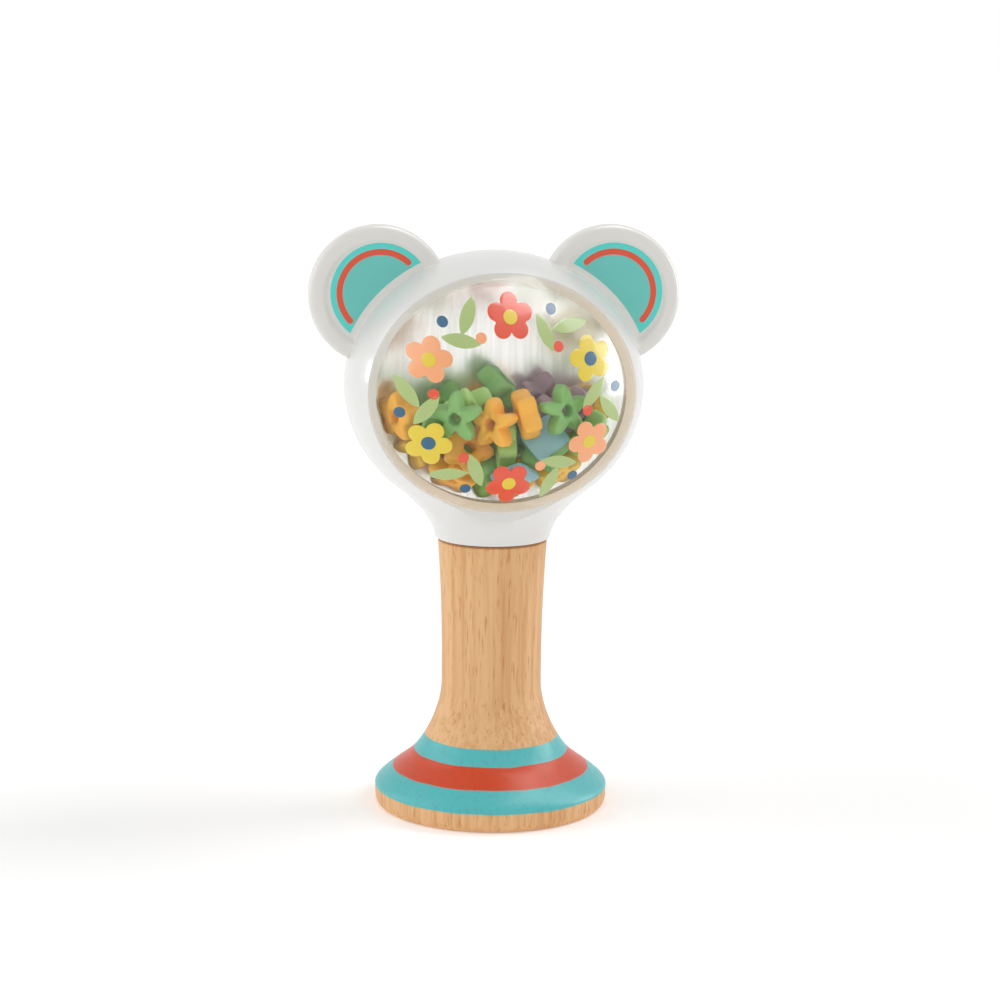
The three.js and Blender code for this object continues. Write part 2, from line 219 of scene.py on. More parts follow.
class MaracaSizes(bpy.types.PropertyGroup):
    """Sizes that the fine surfaces share with the frame"""

    head_radius: length("Head radius", 33.2, "Radius of the head across and front to back")
    head_half_height: length("Head half height", 29.7, "Half the height of the head's spheroid")
    head_z: length("Head height", 95.6, "Height of the head's centre over the foot")
    head_wall: length("Head wall", 1.5, "Wall of the white shells and of the dome")
    ear_x: length("Ear distance", 25.7, "Distance of an ear's centre from the middle")
    ear_z: length("Ear height", 115.6, "Height of an ear's centre over the foot")
    ear_patch: length("Ear patch radius", 11.0, "Radius of the turquoise inside of an ear")
    ear_patch_x: length("Ear patch shift", 0.35, "How far the painted patches sit to the right")
    ear_patch_z: length("Ear patch rise", 0.55, "How far the painted patches sit up")
    ear_patch_end: length("Ear patch end", 1.5, "How far from the head the painted patches end")
    ear_fillet: length("Ear fillet", 3.0, "Size of the soft web between an ear and the head")
    ear_arc: length("Ear arc radius", 9.0, "Radius of the painted arc's middle line")
    ear_arc_width: length("Ear arc width", 1.35, "Width of the painted arc")
    band_foot: length("First band", 4.35, "Height at which the lower turquoise band starts")
    band_low: length("Second band", 8.55, "Height at which the red band starts")
    band_high: length("Third band", 12.5, "Height at which the upper turquoise band starts")
    band_end: length("Bands end", 15.9, "Height at which the painted bands end")
    bead_radius: length("Bead radius", 5.7, "Radius of a star or flower bead at its tips")
    bead_thickness: length("Bead thickness", 4.2, "Thickness of a star or flower bead")
    bead_hole: length("Bead hole radius", 1.2, "Radius of the hole through a bead")
    chip_side: length("Chip side", 8.4, "Side of a square chip")
    chip_thickness: length("Chip thickness", 1.0, "Thickness of a square chip")


class MaracaColours(bpy.types.PropertyGroup):
    """Colours of the finishes"""

    beech: colour("Beech", 234, 188, 136, "Light ground of the wood")
    beech_grain: colour("Beech grain", 206, 146, 92, "Darker grain of the wood")
    beech_fleck: colour("Beech fleck", 188, 116, 62, "Short dark flecks in the wood")
    turquoise: colour("Turquoise", 86, 188, 191, "Painted bands of the foot")
    red_band: colour("Red band", 210, 72, 34, "Painted band between the turquoise ones")
    white_plastic: colour("White plastic", 229, 229, 226, "Shells of the head")
    ear_plastic: colour("Ear plastic", 229, 227, 222, "Ears")
    ear_turquoise: colour("Ear turquoise", 98, 198, 188, "Painted inside of the ears")
    ear_edge: colour("Ear edge", 82, 216, 206, "Painted inside of the ears beyond the arc")
    ear_red: colour("Ear arc", 226, 78, 42, "Painted arc in the ears")
    silver: colour("Silver", 254, 254, 254, "Silvered dish")
    clear: colour("Clear plastic", 255, 255, 254, "Tint of the dome")
    # Beige painted on the dome's rim and skirt as painted shade
    dome_bond: colour("Dome bond", 226, 210, 188, "Tint of the dome's bonded rim")
    green: colour("Green beads", 136, 194, 110, "Green beads")
    light_green: colour("Light green beads", 170, 220, 122, "Light green beads")
    orange: colour("Orange beads", 254, 186, 58, "Orange beads")
    amber: colour("Amber beads", 255, 208, 82, "Amber beads")
    lilac: colour("Lilac beads", 178, 152, 166, "Lilac beads")
    light_blue: colour("Light blue chips", 156, 212, 228, "Light blue chips")
    print_yellow: colour("Print yellow", 232, 204, 44, "Yellow of the garland")
    print_red: colour("Print red", 232, 78, 44, "Red of the garland")
    print_peach: colour("Print peach", 250, 170, 116, "Peach of the garland")
    print_green: colour("Print green", 172, 194, 120, "Leaves of the garland")
    print_blue: colour("Print blue", 20, 92, 128, "Dots of the garland")


class MaracaPrint(bpy.types.PropertyGroup):
    """Sizes of the garland on the dome"""

    ring_share: bpy.props.FloatProperty(
        name="Ring",
        description="Radius of the garland as a share of the head's",
        default=0.6,
        subtype="FACTOR",
    )
    flower_radius: length("Flower radius", 4.9, "Radius of a flower at its petals' tips")
    leaf_length: length("Leaf length", 8.2, "Length of a leaf from its stem to its tip")
    leaf_width: length("Leaf width", 2.9, "Width of a leaf at its middle")
    dot_radius: length("Dot radius", 1.15, "Radius of a small dot")
    height: length("Print height", 0.05, "How far the print stands over the dome")


class MaracaStage(bpy.types.PropertyGroup):
    """Camera and light"""

    camera_place: bpy.props.FloatVectorProperty(
        name="Camera",
        description="Place of the camera",
        default=(-0.0727, -0.5674, 0.1721),
        subtype="TRANSLATION",
    )
    camera_turn: bpy.props.FloatProperty(
        name="Turn",
        description="Camera's turn to the right",
        default=math.radians(7.3),
        subtype="ANGLE",
    )
    camera_pitch: bpy.props.FloatProperty(
        name="Pitch", description="Camera's tilt down", default=math.radians(10.2), subtype="ANGLE"
    )
    camera_lens: bpy.props.FloatProperty(
        name="Lens", description="Focal length in millimetres", default=93.6, unit="CAMERA"
    )
    camera_shift: bpy.props.FloatProperty(
        name="Shift",
        description="Sideways shift of the picture as a share of its width",
        default=0.0073,
    )
    camera_rise: bpy.props.FloatProperty(
        name="Rise",
        description="Upward shift of the picture as a share of its width",
        default=0.0015,
    )
    camera_roll: bpy.props.FloatProperty(
        name="Roll",
        description="Camera's turn about its own axis",
        default=math.radians(0.5),
        subtype="ANGLE",
    )
    sky_light: bpy.props.FloatProperty(
        name="Sky", description="Level of the even light from all sides", default=0.5
    )
    key_light: bpy.props.FloatProperty(
        name="Key", description="Level of the soft light from the right", default=0.8
    )
    fill_light: bpy.props.FloatProperty(
        name="Fill", description="Level of the soft light from the left", default=0.9
    )
    front_light: bpy.props.FloatProperty(
        name="Front", description="Level of the wide light from the front", default=0.3
    )
    softbox_light: bpy.props.FloatProperty(
        name="Softbox",
        description="Power of the panels that only reflections show",
        default=5.0,
        unit="POWER",
    )


# Shaders


class Value:
    """A shader socket with Python's operators. Each operator adds one Math node."""

    def __init__(self, finish, socket):
        self.finish = finish
        self.socket = socket

    def out(self, name):
        """Another output of the same node."""
        return Value(self.finish, self.socket.node.outputs[name])

    def math(self, operation, *others):
        """One Math node on this value and the others, in that order."""
        return self.finish.math(operation, self, *others)

    def __add__(self, other):
        return self.math("ADD", other)

    def __radd__(self, other):
        return self.finish.math("ADD", other, self)

    def __sub__(self, other):
        return self.math("SUBTRACT", other)

    def __rsub__(self, other):
        return self.finish.math("SUBTRACT", other, self)

    def __mul__(self, other):
        return self.math("MULTIPLY", other)

    def __rmul__(self, other):
        return self.finish.math("MULTIPLY", other, self)

    def __abs__(self):
        return self.math("ABSOLUTE")

    def __lt__(self, other):
        return self.math("LESS_THAN", other)

    def __gt__(self, other):
        return self.math("GREATER_THAN", other)


class Finish:
    """The nodes of one material or of the world."""

    def __init__(self, owner):
        owner.use_nodes = True
        self.owner = owner
        self.tree = owner.node_tree
        self.tree.nodes.clear()

    def node(self, kind, settings=None, sockets=None, output=0):
        """A node of that type, with its settings set first and then its sockets' values or links."""
        made = self.tree.nodes.new(kind)
        for name, setting in (settings or {}).items():
            setattr(made, name, setting)
        for name, given in (sockets or {}).items():
            if isinstance(given, Value):
                self.tree.links.new(given.socket, made.inputs[name])
            else:
                made.inputs[name].default_value = given
        outputs = made.outputs
        return Value(self, outputs[output]) if len(outputs) else made

    def math(self, operation, *values):
        """A Math node on values or numbers."""
        return self.node("ShaderNodeMath", {"operation": operation}, dict(enumerate(values)))

    def place(self):
        """Object coordinates."""
        return self.node("ShaderNodeTexCoord", output="Object")

    def axes(self, vector):
        """The three numbers of a vector."""
        split = self.node("ShaderNodeSeparateXYZ", None, {0: vector})
        return split, split.out("Y"), split.out("Z")

    def noise(self, scale, detail=3.0, roughness=0.55, offset=(0, 0, 0)):
        """Noise from 0 to 1 over Object coordinates, with its own scale along each axis per metre."""
        stretched = self.node(
            "ShaderNodeMapping", None, {"Vector": self.place(), "Scale": scale, "Location": offset}
        )
        return self.node(
            "ShaderNodeTexNoise",
            None,
            {"Vector": stretched, "Scale": 1.0, "Detail": detail, "Roughness": roughness},
        )

    def step(self, value, low, high):
        """A smooth step from 0 at low to 1 at high."""
        return self.node(
            "ShaderNodeMapRange",
            {"interpolation_type": "SMOOTHSTEP"},
            {"Value": value, "From Min": low, "From Max": high},
        )

    def mix(self, share, first, second):
        """The first colour at share 0 and the second at share 1."""
        return self.node(
            "ShaderNodeMix",
            {"data_type": "RGBA"},
            {0: share, 6: solid(first), 7: solid(second)},
            output=2,
        )

    def bump(self, height, strength, distance, normal=None):
        """A normal, the surface's own if none is given, bent by a height from 0 to 1."""
        sockets = {"Height": height, "Strength": strength, "Distance": distance}
        if normal:
            sockets["Normal"] = normal
        return self.node("ShaderNodeBump", None, sockets)

    def surface(self, shader):
        """Ends the material in that shader."""
        self.node("ShaderNodeOutputMaterial", None, {"Surface": shader})
        return self.owner

    def principled(self, **sockets):
        """A Principled shader; a socket's name is written with _ for each space."""
        named = {name.replace("_", " "): given for name, given in sockets.items()}
        return self.node("ShaderNodeBsdfPrincipled", None, named)


def solid(given):
    """A colour with its alpha, or a link as it is."""
    return given if isinstance(given, Value) else (*given, 1.0)


def new_finish(name):
    """The nodes of a new material."""
    return Finish(bpy.data.materials.new(name))


def beech_finish(colours, sizes):
    """Beech with upright grain and flecks, and satin paint in bands of height."""
    wood = new_finish("beech_and_paint")
    height = wood.axes(wood.place())[2]
    grain = wood.noise((900, 900, 14), 4.0, 0.62)
    broad = wood.noise((110, 110, 7), 2.0)
    flecks = wood.step(wood.noise((2300, 2300, 210), 1.0, 0.5), 0.58, 0.72)
    pores = wood.noise((3200, 3200, 90), 2.0)
    tone = wood.step(grain * 0.75 + broad * 0.4, 0.42, 0.85)
    ground = wood.mix(tone * 0.85, colours.beech, colours.beech_grain)
    ground = wood.mix(flecks * 0.5, ground, colours.beech_fleck)
    # A darker brown band along the top edge of the handle, under the neck
    dark_top = wood.step(height, DARK_TOP_START, DARK_TOP_END)
    ground = wood.mix(dark_top * 0.6, ground, linear(176, 108, 58))

    level = height + (broad - 0.5) * PAINT_WAVE

    def over(band):
        return wood.step(level, band - PAINT_EDGE, band + PAINT_EDGE)

    painted = over(sizes.band_foot) * (1 - over(sizes.band_end))
    middle = over(sizes.band_low) * (1 - over(sizes.band_high))
    paint = wood.mix(middle, colours.turquoise, colours.red_band)
    paint = wood.mix(wood.step(grain, 0.45, 0.8) * 0.16, paint, linear(70, 60, 52))
    skin = wood.mix(painted, ground, paint)

    relief = pores * 0.5 + grain * 0.6 - flecks * 0.35
    return wood.surface(
        wood.principled(
            Base_Color=skin,
            Roughness=0.5 - painted * 0.12 + (grain - 0.5) * 0.16,
            Specular_IOR_Level=0.25,
            Coat_Weight=painted * 0.12,
            Coat_Roughness=0.2,
            Normal=wood.bump(relief * (1 - painted * 0.6), 0.28, 0.12 * MM),
        )
    )


def white_finish(colours):
    """Glossy white plastic with a faint moulded ripple."""
    plastic = new_finish("white_plastic")
    ripple = plastic.noise((90, 90, 90), 2.0)
    dust = plastic.noise((900, 900, 900), 3.0)
    return plastic.surface(
        plastic.principled(
            Base_Color=plastic.mix(ripple * 0.25, colours.white_plastic, linear(232, 232, 231)),
            Roughness=0.2 + dust * 0.1,
            Coat_Weight=0.3,
            Coat_Roughness=0.06,
            Normal=plastic.bump(ripple, 0.05, 0.3 * MM),
        )
    )


def ear_finish(colours, sizes, side):
    """Satin white ear with a turquoise disc in its dish and a painted arc with round ends.

    Beyond the arc the turquoise is brighter, and near the head the disc ends.

    In the ear's plane, u runs outwards and v up from its centre. The arc lies about the diagonal
    between them: along is the distance along the diagonal and across the distance from it.
    """
    ear = new_finish("ear_right" if side > 0 else "ear_left")
    x, y, z = ear.axes(ear.place())
    u = x * side - (sizes.ear_x + side * sizes.ear_patch_x)
    v = z - (sizes.ear_z + sizes.ear_patch_z)
    radius = (u * u + v * v).math("SQRT")
    along = (u + v) * math.sqrt(0.5)
    across = abs((v - u) * math.sqrt(0.5))
    end_along = along - sizes.ear_arc * math.cos(EAR_ARC_HALF_SPAN)
    end_across = across - sizes.ear_arc * math.sin(EAR_ARC_HALF_SPAN)
    to_end = (end_along * end_along + end_across * end_across).math("SQRT")
    within = along * math.sin(EAR_ARC_HALF_SPAN) - across * math.cos(EAR_ARC_HALF_SPAN) > 0
    to_arc = within * abs(radius - sizes.ear_arc) + (1 - within) * to_end
    edge = EAR_PAINT_EDGE
    half = sizes.ear_arc_width / 2
    front = y < EAR_FRONT_Y
    arc = front * (1 - ear.step(to_arc, half - edge, half + edge))
    patch = front * (1 - ear.step(radius, sizes.ear_patch - edge, sizes.ear_patch + edge))
    up = (z - sizes.head_z) * (sizes.head_radius / sizes.head_half_height)
    out = (x * x + y * y + up * up).math("SQRT")
    patch_end = sizes.head_radius + sizes.ear_patch_end
    patch = patch * ear.step(out, patch_end - edge, patch_end + edge)
    cloud = ear.noise((160, 160, 160), 3.0)
    grain = ear.noise((1500, 1500, 1500), 2.0)
    plain = ear.mix(cloud * 0.4, colours.ear_plastic, linear(220, 217, 210))
    painted = ear.mix(cloud * 0.35, colours.ear_turquoise, linear(118, 206, 196))
    beyond = ear.step(radius, sizes.ear_arc - half, sizes.ear_arc + half)
    painted = ear.mix(beyond, painted, colours.ear_edge)
    skin = ear.mix(arc, ear.mix(patch, plain, painted), colours.ear_red)
    return ear.surface(
        ear.principled(
            Base_Color=skin,
            Roughness=0.3 + grain * 0.12,
            Coat_Weight=0.2,
            Coat_Roughness=0.1,
            Normal=ear.bump(grain * 0.4 + patch * 0.6, 0.12, 0.06 * MM),
        )
    )


def silver_finish(colours):
    """Silvered film with fine upright streaks, which shines as a sheet far flatter than the dish."""
    silver = new_finish("silvered")
    streaks = silver.noise((900, 200, 30), 3.0, 0.6)
    clouds = silver.noise((120, 120, 60), 2.0)
    dull = silver.step(streaks, 0.3, 0.7) * 0.7 + clouds * 0.15
    normal = silver.node("ShaderNodeNewGeometry", output="Normal")
    flatter = silver.node(
        "ShaderNodeVectorMath", {"operation": "MULTIPLY"}, {0: normal, 1: (DISH_SHINE, 1.0, DISH_SHINE)}
    )
    flatter = silver.node("ShaderNodeVectorMath", {"operation": "NORMALIZE"}, {0: flatter})
    return silver.surface(
        silver.principled(
            Base_Color=silver.mix(dull, colours.silver, linear(238, 238, 237)),
            Metallic=0.96,
            Roughness=0.13 + streaks * 0.14 + clouds * 0.06,
            Normal=silver.bump(streaks * 0.6 + clouds, 0.12, 0.15 * MM, flatter),
        )
    )


def clear_finish(colours, sizes):
    """Clear plastic: see-through, with mirror gloss that grows towards the rim with the fifth power.

    Where the thick rim is bonded to the white ring, and on the skirt behind it, a beige tint is
    painted:
    painted shade, most along the lower right, which also glows a little as painted light. The rest of
    the skirt has no gloss.
    """
    clear = new_finish("clear_plastic")
    ripple = clear.noise((70, 70, 70), 2.0)
    bent = clear.bump(ripple, 0.04, 0.3 * MM)
    facing = clear.node("ShaderNodeLayerWeight", None, {"Blend": 0.5, "Normal": bent}, output="Facing")
    x, depth, z = clear.axes(clear.place())
    up = (z - sizes.head_z) * (sizes.head_radius / sizes.head_half_height)
    out = (x * x + depth * depth + up * up).math("SQRT")

    def past(insets):
        return clear.step(out, *[sizes.head_radius - inset * MM for inset in insets])

    def deeper(depths):
        return clear.step(depth, *[limit * MM for limit in depths])

    outside = past(OUTSIDE_INSETS)
    bonded = outside * deeper(BONDED_DEPTHS)
    behind = deeper(BEHIND_DEPTHS) * past(BEHIND_INSETS) * (1 - outside)
    hidden = deeper(HIDDEN_DEPTHS) * (1 - outside)
    slant = (x - up).math("DIVIDE", (x * x + up * up).math("SQRT")) * math.sqrt(0.5)
    # Painted shade: the beige tint grows towards the lower right
    painted_shade_lower_right = clear.step(slant, *PAINTED_SHADE_COSINES)
    gloss = (facing.math("POWER", GLOSS_POWER) * GLOSS_ADDED + GLOSS_LEAST) * (1 - hidden)
    through = clear.node("ShaderNodeBsdfTransparent", None, {"Color": solid(colours.clear)})
    shine = clear.principled(
        Base_Color=solid((0.98, 0.98, 0.98)), Metallic=1.0, Roughness=0.1 + ripple * 0.05, Normal=bent
    )
    window = clear.node("ShaderNodeMixShader", None, {0: gloss, 1: through, 2: shine})
    # Shader of the beige tint: painted shade, with a little painted glow
    painted_shade_shader = clear.principled(
        Base_Color=solid(colours.dome_bond),
        Roughness=0.25 + ripple * 0.1,
        Emission_Color=solid(colours.dome_bond),
        Emission_Strength=PAINTED_GLOW,
    )
    # How much of the painted shade shows on the rim and on the skirt behind it
    on_rim = bonded * (RIM_PAINTED_SHADE[0] + painted_shade_lower_right * RIM_PAINTED_SHADE[1])
    share = on_rim + behind * (SKIRT_PAINTED_SHADE[0] + painted_shade_lower_right * SKIRT_PAINTED_SHADE[1])
    return clear.surface(clear.node("ShaderNodeMixShader", None, {0: share, 1: window, 2: painted_shade_shader}))


def bead_finish(name, tint):
    """Satin bead plastic, slightly mottled, with a fine moulded grain."""
    bead = new_finish(name)
    mottle = bead.noise((230, 230, 230), 3.0)
    grain = bead.noise((2400, 2400, 2400), 2.0)
    deep = tuple(0.8 * part for part in tint)
    return bead.surface(
        bead.principled(
            Base_Color=bead.mix(bead.step(mottle, 0.35, 0.75) * 0.55, tint, deep),
            Roughness=0.46 + grain * 0.16,
            Normal=bead.bump(grain * 0.5 + mottle, 0.16, 0.08 * MM),
        )
    )


def print_finish(name, tint):
    """Flat printed ink with a faint unevenness."""
    ink = new_finish(name)
    film = ink.noise((500, 500, 500), 3.0)
    pale = tuple(0.85 * part + 0.1 for part in tint)
    return ink.surface(
        ink.principled(
            Base_Color=ink.mix(film * 0.3, tint, pale),
            Roughness=0.3 + film * 0.15,
            Coat_Weight=0.3,
            Coat_Roughness=0.08,
        )
    )


def floor_finish():
    """White paper that keeps the toy's shadow."""
    paper = new_finish("white_paper")
    fibre = paper.noise((300, 300, 300), 3.0)
    return paper.surface(
        paper.principled(
            Base_Color=paper.mix(fibre * 0.1, (0.97, 0.97, 0.97), (0.94, 0.94, 0.94)),
            Roughness=0.9,
            Specular_IOR_Level=0.0,
            Emission_Color=(1.0, 1.0, 1.0, 1.0),
            Emission_Strength=0.2,
        )
    )


# Surfaces


def curve(points, steps=CURVE_STEPS):
    """Bezier curve: each control point counts by its Bernstein share at equal steps."""
    share = np.linspace(0, 1, steps + 1)[:, None]
    order = len(points) - 1
    counts = [math.comb(order, i) * share**i * (1 - share) ** (order - i) for i in range(order + 1)]
    return sum(count * np.array(point, float) for count, point in zip(counts, points))


def outline(curves):
    """Curves in millimetres joined end to end, in metres. A straight line has only its ends."""
    steps = [1 if len(points) == 2 else CURVE_STEPS for points in curves]
    return np.concatenate([curve(points, count) for points, count in zip(curves, steps)]) * MM


def grid_faces(rows, columns, rows_close=False):
    """Four-cornered faces of a grid whose columns, and rows if asked, close on themselves."""
    row = np.arange(rows if rows_close else rows - 1)[:, None]
    column = np.arange(columns)[None, :]
    next_row = (row + 1) % rows
    next_column = (column + 1) % columns
    corners = (
        row * columns + column,
        row * columns + next_column,
        next_row * columns + next_column,
        next_row * columns + column,
    )
    return np.stack(np.broadcast_arrays(*corners), axis=-1).reshape(-1, 4)


def turns(sides=ROUND_SIDES):
    """Equal angles round a circle, as a row."""
    return np.linspace(0, 2 * math.pi, sides, endpoint=False)[None, :]


def spread(*parts):
    """Points of a grid from its x, y and z, each given for rows, columns or both."""
    return np.stack(np.broadcast_arrays(*parts), axis=-1)


def turned(profile, sides=ROUND_SIDES):
    """A profile of radius and height carried round the vertical axis."""
    angle = turns(sides)
    radius = profile[:, :1]
    return spread(radius * np.cos(angle), radius * np.sin(angle), profile[:, 1:])


def round_head(profile, sizes):
    """A profile of depth y and inset in millimetres carried round the head.

    Each point goes round the ellipse in which its plane cuts the spheroid that lies that inset
    inside the head's surface.
    """
    angle = turns()
    depth = profile[:, :1] * MM
    wide = sizes.head_radius - profile[:, 1:] * MM
    tall = sizes.head_half_height - profile[:, 1:] * MM
    share = np.sqrt(np.maximum(1 - (depth / wide) ** 2, 0))
    return spread(wide * share * np.cos(angle), depth, sizes.head_z + tall * share * np.sin(angle))


def shape_of(points, rows_close=False):
    """A welded bmesh of one grid of points, with its faces pointing outwards."""
    shape = bmesh.new()
    mesh = bpy.data.meshes.new("grid")
    rows, columns = points.shape[:2]
    faces = grid_faces(rows, columns, rows_close)
    mesh.from_pydata(points.reshape(-1, 3).tolist(), [], faces.tolist())
    shape.from_mesh(mesh)
    bpy.data.meshes.remove(mesh)
    bmesh.ops.remove_doubles(shape, verts=shape.verts[:], dist=WELD)
    bmesh.ops.dissolve_degenerate(shape, edges=shape.edges[:], dist=WELD)
    bmesh.ops.recalc_face_normals(shape, faces=shape.faces[:])
    return shape


def keep_side(shape, depth, side):
    """Cuts a closed shape with the plane y = depth, keeps that side of it and closes the cut."""
    everything = shape.verts[:] + shape.edges[:] + shape.faces[:]
    cut = bmesh.ops.bisect_plane(
        shape,
        geom=everything,
        dist=WELD,
        plane_co=(0, depth, 0),
        plane_no=(0, side, 0),
        clear_inner=True,
    )
    rim = [part for part in cut["geom_cut"] if isinstance(part, bmesh.types.BMEdge)]
    bmesh.ops.triangle_fill(shape, use_beauty=True, use_dissolve=False, edges=rim)
    bmesh.ops.recalc_face_normals(shape, faces=shape.faces[:])


def add_piece(name, shapes, material, sharp=SHARP_ANGLE):
    """An object at the origin made of closed shapes, smooth but for its sharp edges."""
    mesh = bpy.data.meshes.new(name)
    whole = bmesh.new()
    for shape in shapes:
        shape.to_mesh(mesh)
        whole.from_mesh(mesh)
        shape.free()
    whole.to_mesh(mesh)
    whole.free()
    mesh.shade_smooth()
    mesh.set_sharp_from_angle(angle=sharp)
    mesh.materials.append(material)
    piece = bpy.data.objects.new(name, mesh)
    bpy.context.scene.collection.objects.link(piece)
    return piece


def head_outline(sizes):
    """Closed outline of the hollow head: spigot, neck, spheroid, and back along the inner wall."""
    radius = sizes.head_radius / MM
    half = sizes.head_half_height / MM
    middle = sizes.head_z / MM
    wall = sizes.head_wall / MM
    join = (radius * math.cos(NECK_JOIN_ANGLE), middle + half * math.sin(NECK_JOIN_ANGLE))
    below = outline(SPIGOT_CURVES + [[NECK_START, NECK_TURN, join]])
    climb = np.linspace(NECK_JOIN_ANGLE, math.pi / 2, HEAD_STEPS)[:, None]
    outside = np.hstack([radius * np.cos(climb), middle + half * np.sin(climb)]) * MM
    core_angle = -math.acos(CORE_RADIUS / (radius - wall))
    descent = np.linspace(math.pi / 2, core_angle, HEAD_STEPS)[:, None]
    inner_radius = radius - wall
    inner_half = half - wall
    inside = np.hstack([inner_radius * np.cos(descent), middle + inner_half * np.sin(descent)]) * MM
    core = np.array([(CORE_RADIUS, CORE_FLOOR), (0, CORE_FLOOR)]) * MM
    return np.concatenate([below, outside, inside, core])


def dome_outline(sizes):
    """Closed outline of the clear dome as depth and inset: cap, rim, skirt and back inside."""
    radius = sizes.head_radius / MM
    wall = sizes.head_wall / MM
    near, far = SKIRT_INSETS
    rim_angle = math.acos(-DOME_RIM_Y / radius)
    step_angle = math.acos(-DOME_STEP_Y / (radius - wall))
    outside = -radius * np.cos(np.linspace(0, rim_angle, HEAD_STEPS))
    inside = -(radius - wall) * np.cos(np.linspace(step_angle, 0, HEAD_STEPS))
    rim = [(DOME_RIM_Y, near), (SKIRT_END_Y, near), (SKIRT_END_Y, far), (DOME_STEP_Y, far)]
    return np.concatenate(
        [
            np.column_stack([outside, np.zeros(HEAD_STEPS)]),
            np.array(rim),
            np.column_stack([inside, np.full(HEAD_STEPS, wall)]),
        ]
    )


def tongue_outline():
    """Outline of the rear half's tongue as depth and inset, with its thicker root."""
    near, far = SKIRT_INSETS
    return np.array(
        [
            (TONGUE_END_Y, near),
            (SEAM_Y, near),
            (SEAM_Y, TONGUE_ROOT_INSET),
            (TONGUE_ROOT_Y, TONGUE_ROOT_INSET),
            (TONGUE_ROOT_Y, far),
            (TONGUE_END_Y, far),
        ]
    )


def dish_points(sizes):
    """The dish, a flattened circle: its depth rises to the rim with the fifth power of the radius."""
    radius = np.append(np.linspace(0, DISH_BOWL_RADIUS, HEAD_STEPS), DISH_RADIUS)
    depth = DISH_RIM_Y + DISH_DEPTH * (1 - np.minimum(radius / DISH_BOWL_RADIUS, 1) ** DISH_POWER)
    radius = np.concatenate([radius, radius[::-1]])[:, None] * MM
    depth = np.concatenate([depth, depth[::-1] + DISH_THICKNESS])[:, None] * MM
    angle = turns()
    flat = DISH_HALF_HEIGHT / DISH_RADIUS
    return spread(radius * np.cos(angle), depth, sizes.head_z + radius * flat * np.sin(angle))


def ear_points(sizes, side):
    """An ear: its outline carried round its centre, but along each ray no further than the head.

    Where a ray meets the ellipse in which the plane y cuts the head's spheroid is the smaller root
    of a quadratic equation. Near the head, both faces rise along a quarter circle, as a soft web
    that fades out towards the ear's rim.
    """
    profile = outline(EAR_CURVES)
    radius = profile[:, :1]
    depth = profile[:, 1:]
    angle = turns()
    share = 1 - (depth / sizes.head_radius) ** 2
    wide = (sizes.head_radius - EAR_SINK) ** 2 * share
    tall = (sizes.head_half_height - EAR_SINK) ** 2 * share
    from_x = sizes.ear_x
    from_z = sizes.ear_z - sizes.head_z
    square = np.cos(angle) ** 2 / wide + np.sin(angle) ** 2 / tall
    slope = from_x * np.cos(angle) / wide + from_z * np.sin(angle) / tall
    constant = from_x**2 / wide + from_z**2 / tall - 1
    under_root = slope**2 - square * constant
    meets = (under_root > 0) & (slope < 0)
    root = (-slope - np.sqrt(np.maximum(under_root, 0))) / square
    reach = np.where(meets, np.minimum(radius, np.maximum(root, 0)), radius)
    across = from_x + reach * np.cos(angle)
    up = from_z + reach * np.sin(angle)
    distance = (np.sqrt(across**2 / wide + up**2 / tall) - 1) * sizes.head_half_height
    nearness = np.maximum(1 - distance / sizes.ear_fillet, 0)
    rise = 1 - np.sqrt(1 - np.minimum(nearness, 1) ** 2)
    fade = np.clip((EAR_WEB_END - reach) / EAR_WEB_FADE, 0, 1)
    fade = fade * fade * (3 - 2 * fade)
    on_face = np.abs(depth) > EAR_WEB_LEAST_DEPTH
    web = np.sign(depth) * sizes.ear_fillet * rise * fade * on_face
    return spread(side * across, depth + web, sizes.head_z + up)


def signed_power(value, power):
    """The power of the size with the sign kept, which squares a circle off."""
    return np.sign(value) * np.abs(value) ** power


def bead_points(kind, sizes):
    """A star or flower bead about the origin, with its hole along z.

    The tip radius dips five times round the bead. Its section, from the hole to that radius, is
    a circle squared off by a signed power, and the middle of the face is a little crowned.
    """
    angle = turns(BEAD_ROUND)
    section = np.linspace(0, 2 * math.pi, BEAD_SECTION, endpoint=False)[:, None]
    lobe = (1 + np.cos(BEAD_POINTS * angle)) / 2
    outer = sizes.bead_radius * (1 - BEAD_DIPS[kind] * (1 - lobe))
    middle = (outer + sizes.bead_hole) / 2
    half = (outer - sizes.bead_hole) / 2
    radius = middle + half * signed_power(np.cos(section), BEAD_SQUARENESS)
    height = sizes.bead_thickness / 2 * signed_power(np.sin(section), BEAD_SQUARENESS)
    return spread(radius * np.cos(angle), radius * np.sin(angle), height)


def chip_points(sizes):
    """A square chip about the origin: a squared circle, stepped from the middle over its edge."""
    angle = turns(BEAD_ROUND)
    across = np.array(CHIP_STEPS)[:, None]
    up = np.array(CHIP_HEIGHTS)[:, None]
    half = across * sizes.chip_side / 2
    x = half * signed_power(np.cos(angle), CHIP_SQUARENESS)
    y = half * signed_power(np.sin(angle), CHIP_SQUARENESS)
    return spread(x, y, up * sizes.chip_thickness / 2)


def frame_points(node):
    """The corners of a CAD node, each once."""
    mesh = frame["nodes"][node].data
    flat = np.empty(len(mesh.vertices) * 3, np.float32)
    mesh.vertices.foreach_get("co", flat)
    return np.unique(np.round(flat.reshape(-1, 3).astype(float), 6), axis=0)


